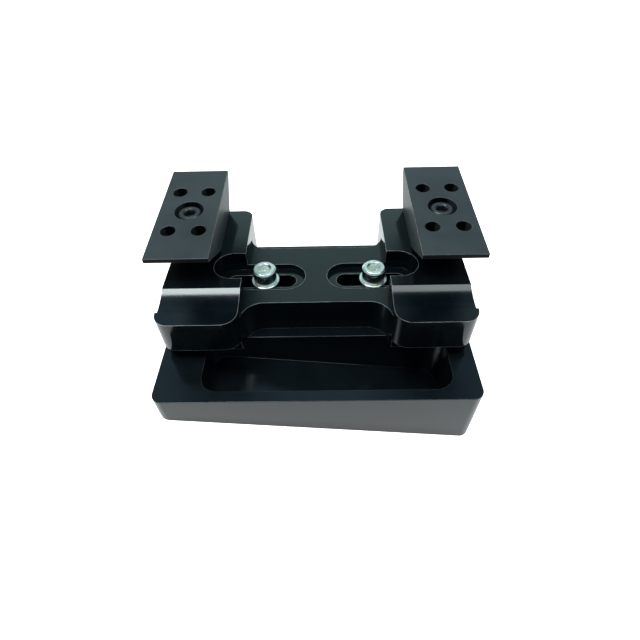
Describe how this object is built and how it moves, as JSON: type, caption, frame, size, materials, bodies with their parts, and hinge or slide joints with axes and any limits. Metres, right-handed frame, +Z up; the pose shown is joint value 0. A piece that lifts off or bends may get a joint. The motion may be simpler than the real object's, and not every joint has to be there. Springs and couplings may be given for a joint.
{
  "type": "adjustable mounting block",
  "caption": "Wedge base with a pocket, a saddle that slides in slots under clamp screws, and swivelling flat pads on its wings for carrying a bolted load.",
  "frame": {"origin": "middle of the base's flat underside, under the middle of the sloping top", "axes": "+Z up, +X along the slope's plan towards the thick end of the wedge, +Y from the front to the back"},
  "size_m": [0.1825, 0.1364, 0.0881],
  "materials": {
    "base_aluminium": "black anodised, semi-gloss, milled",
    "saddle_aluminium": "black anodised, semi-gloss, milled",
    "pad_aluminium": "black anodised, satin, fine milled",
    "zinc_steel": "bright zinc plated",
    "zinc_washer": "bright zinc plated",
    "black_steel": "black oxide",
    "insert_steel": "plain stainless"
  },
  "bodies": {
    "base": {"base_wedge": "base_aluminium", "base_thread_inserts": "insert_steel"},
    "saddle": {"saddle": "saddle_aluminium", "left_wing_thread_insert": "insert_steel", "right_wing_thread_insert": "insert_steel"},
    "left_clamp": {"left_clamp_screw": "zinc_steel", "left_clamp_washer": "zinc_washer"},
    "right_clamp": {"right_clamp_screw": "zinc_steel", "right_clamp_washer": "zinc_washer"},
    "left_pad": {"left_pad": "pad_aluminium"},
    "right_pad": {"right_pad": "pad_aluminium"},
    "left_pad_screw": {"left_pad_screw": "black_steel"},
    "right_pad_screw": {"right_pad_screw": "black_steel"}
  },
  "joints": [
    {"name": "saddle_slide", "type": "slide", "parent": "base", "child": "saddle", "axis": [0.9914, 0, 0.1305], "range_m": [-0.0135, 0.0169]},
    {"name": "left_clamp_turn", "type": "hinge", "parent": "base", "child": "left_clamp", "pos_m": [-0.03456, 0.0079, 0.04033], "axis": [-0.1305, 0, 0.9914], "range_deg": [0, 360]},
    {"name": "right_clamp_turn", "type": "hinge", "parent": "base", "child": "right_clamp", "pos_m": [0.02631, 0.0079, 0.04835], "axis": [-0.1305, 0, 0.9914], "range_deg": [0, 360]},
    {"name": "left_pad_swivel", "type": "hinge", "parent": "saddle", "child": "left_pad", "pos_m": [-0.07829, 0.0347, 0.04688], "axis": [-0.1305, 0, 0.9914], "range_deg": [-45, 45]},
    {"name": "right_pad_swivel", "type": "hinge", "parent": "saddle", "child": "right_pad", "pos_m": [0.06349, 0.0347, 0.06555], "axis": [-0.1305, 0, 0.9914], "range_deg": [-45, 45]},
    {"name": "left_pad_screw_turn", "type": "hinge", "parent": "saddle", "child": "left_pad_screw", "pos_m": [-0.07829, 0.0347, 0.04688], "axis": [-0.1305, 0, 0.9914], "range_deg": [0, 360]},
    {"name": "right_pad_screw_turn", "type": "hinge", "parent": "saddle", "child": "right_pad_screw", "pos_m": [0.06349, 0.0347, 0.06555], "axis": [-0.1305, 0, 0.9914], "range_deg": [0, 360]}
  ]
}
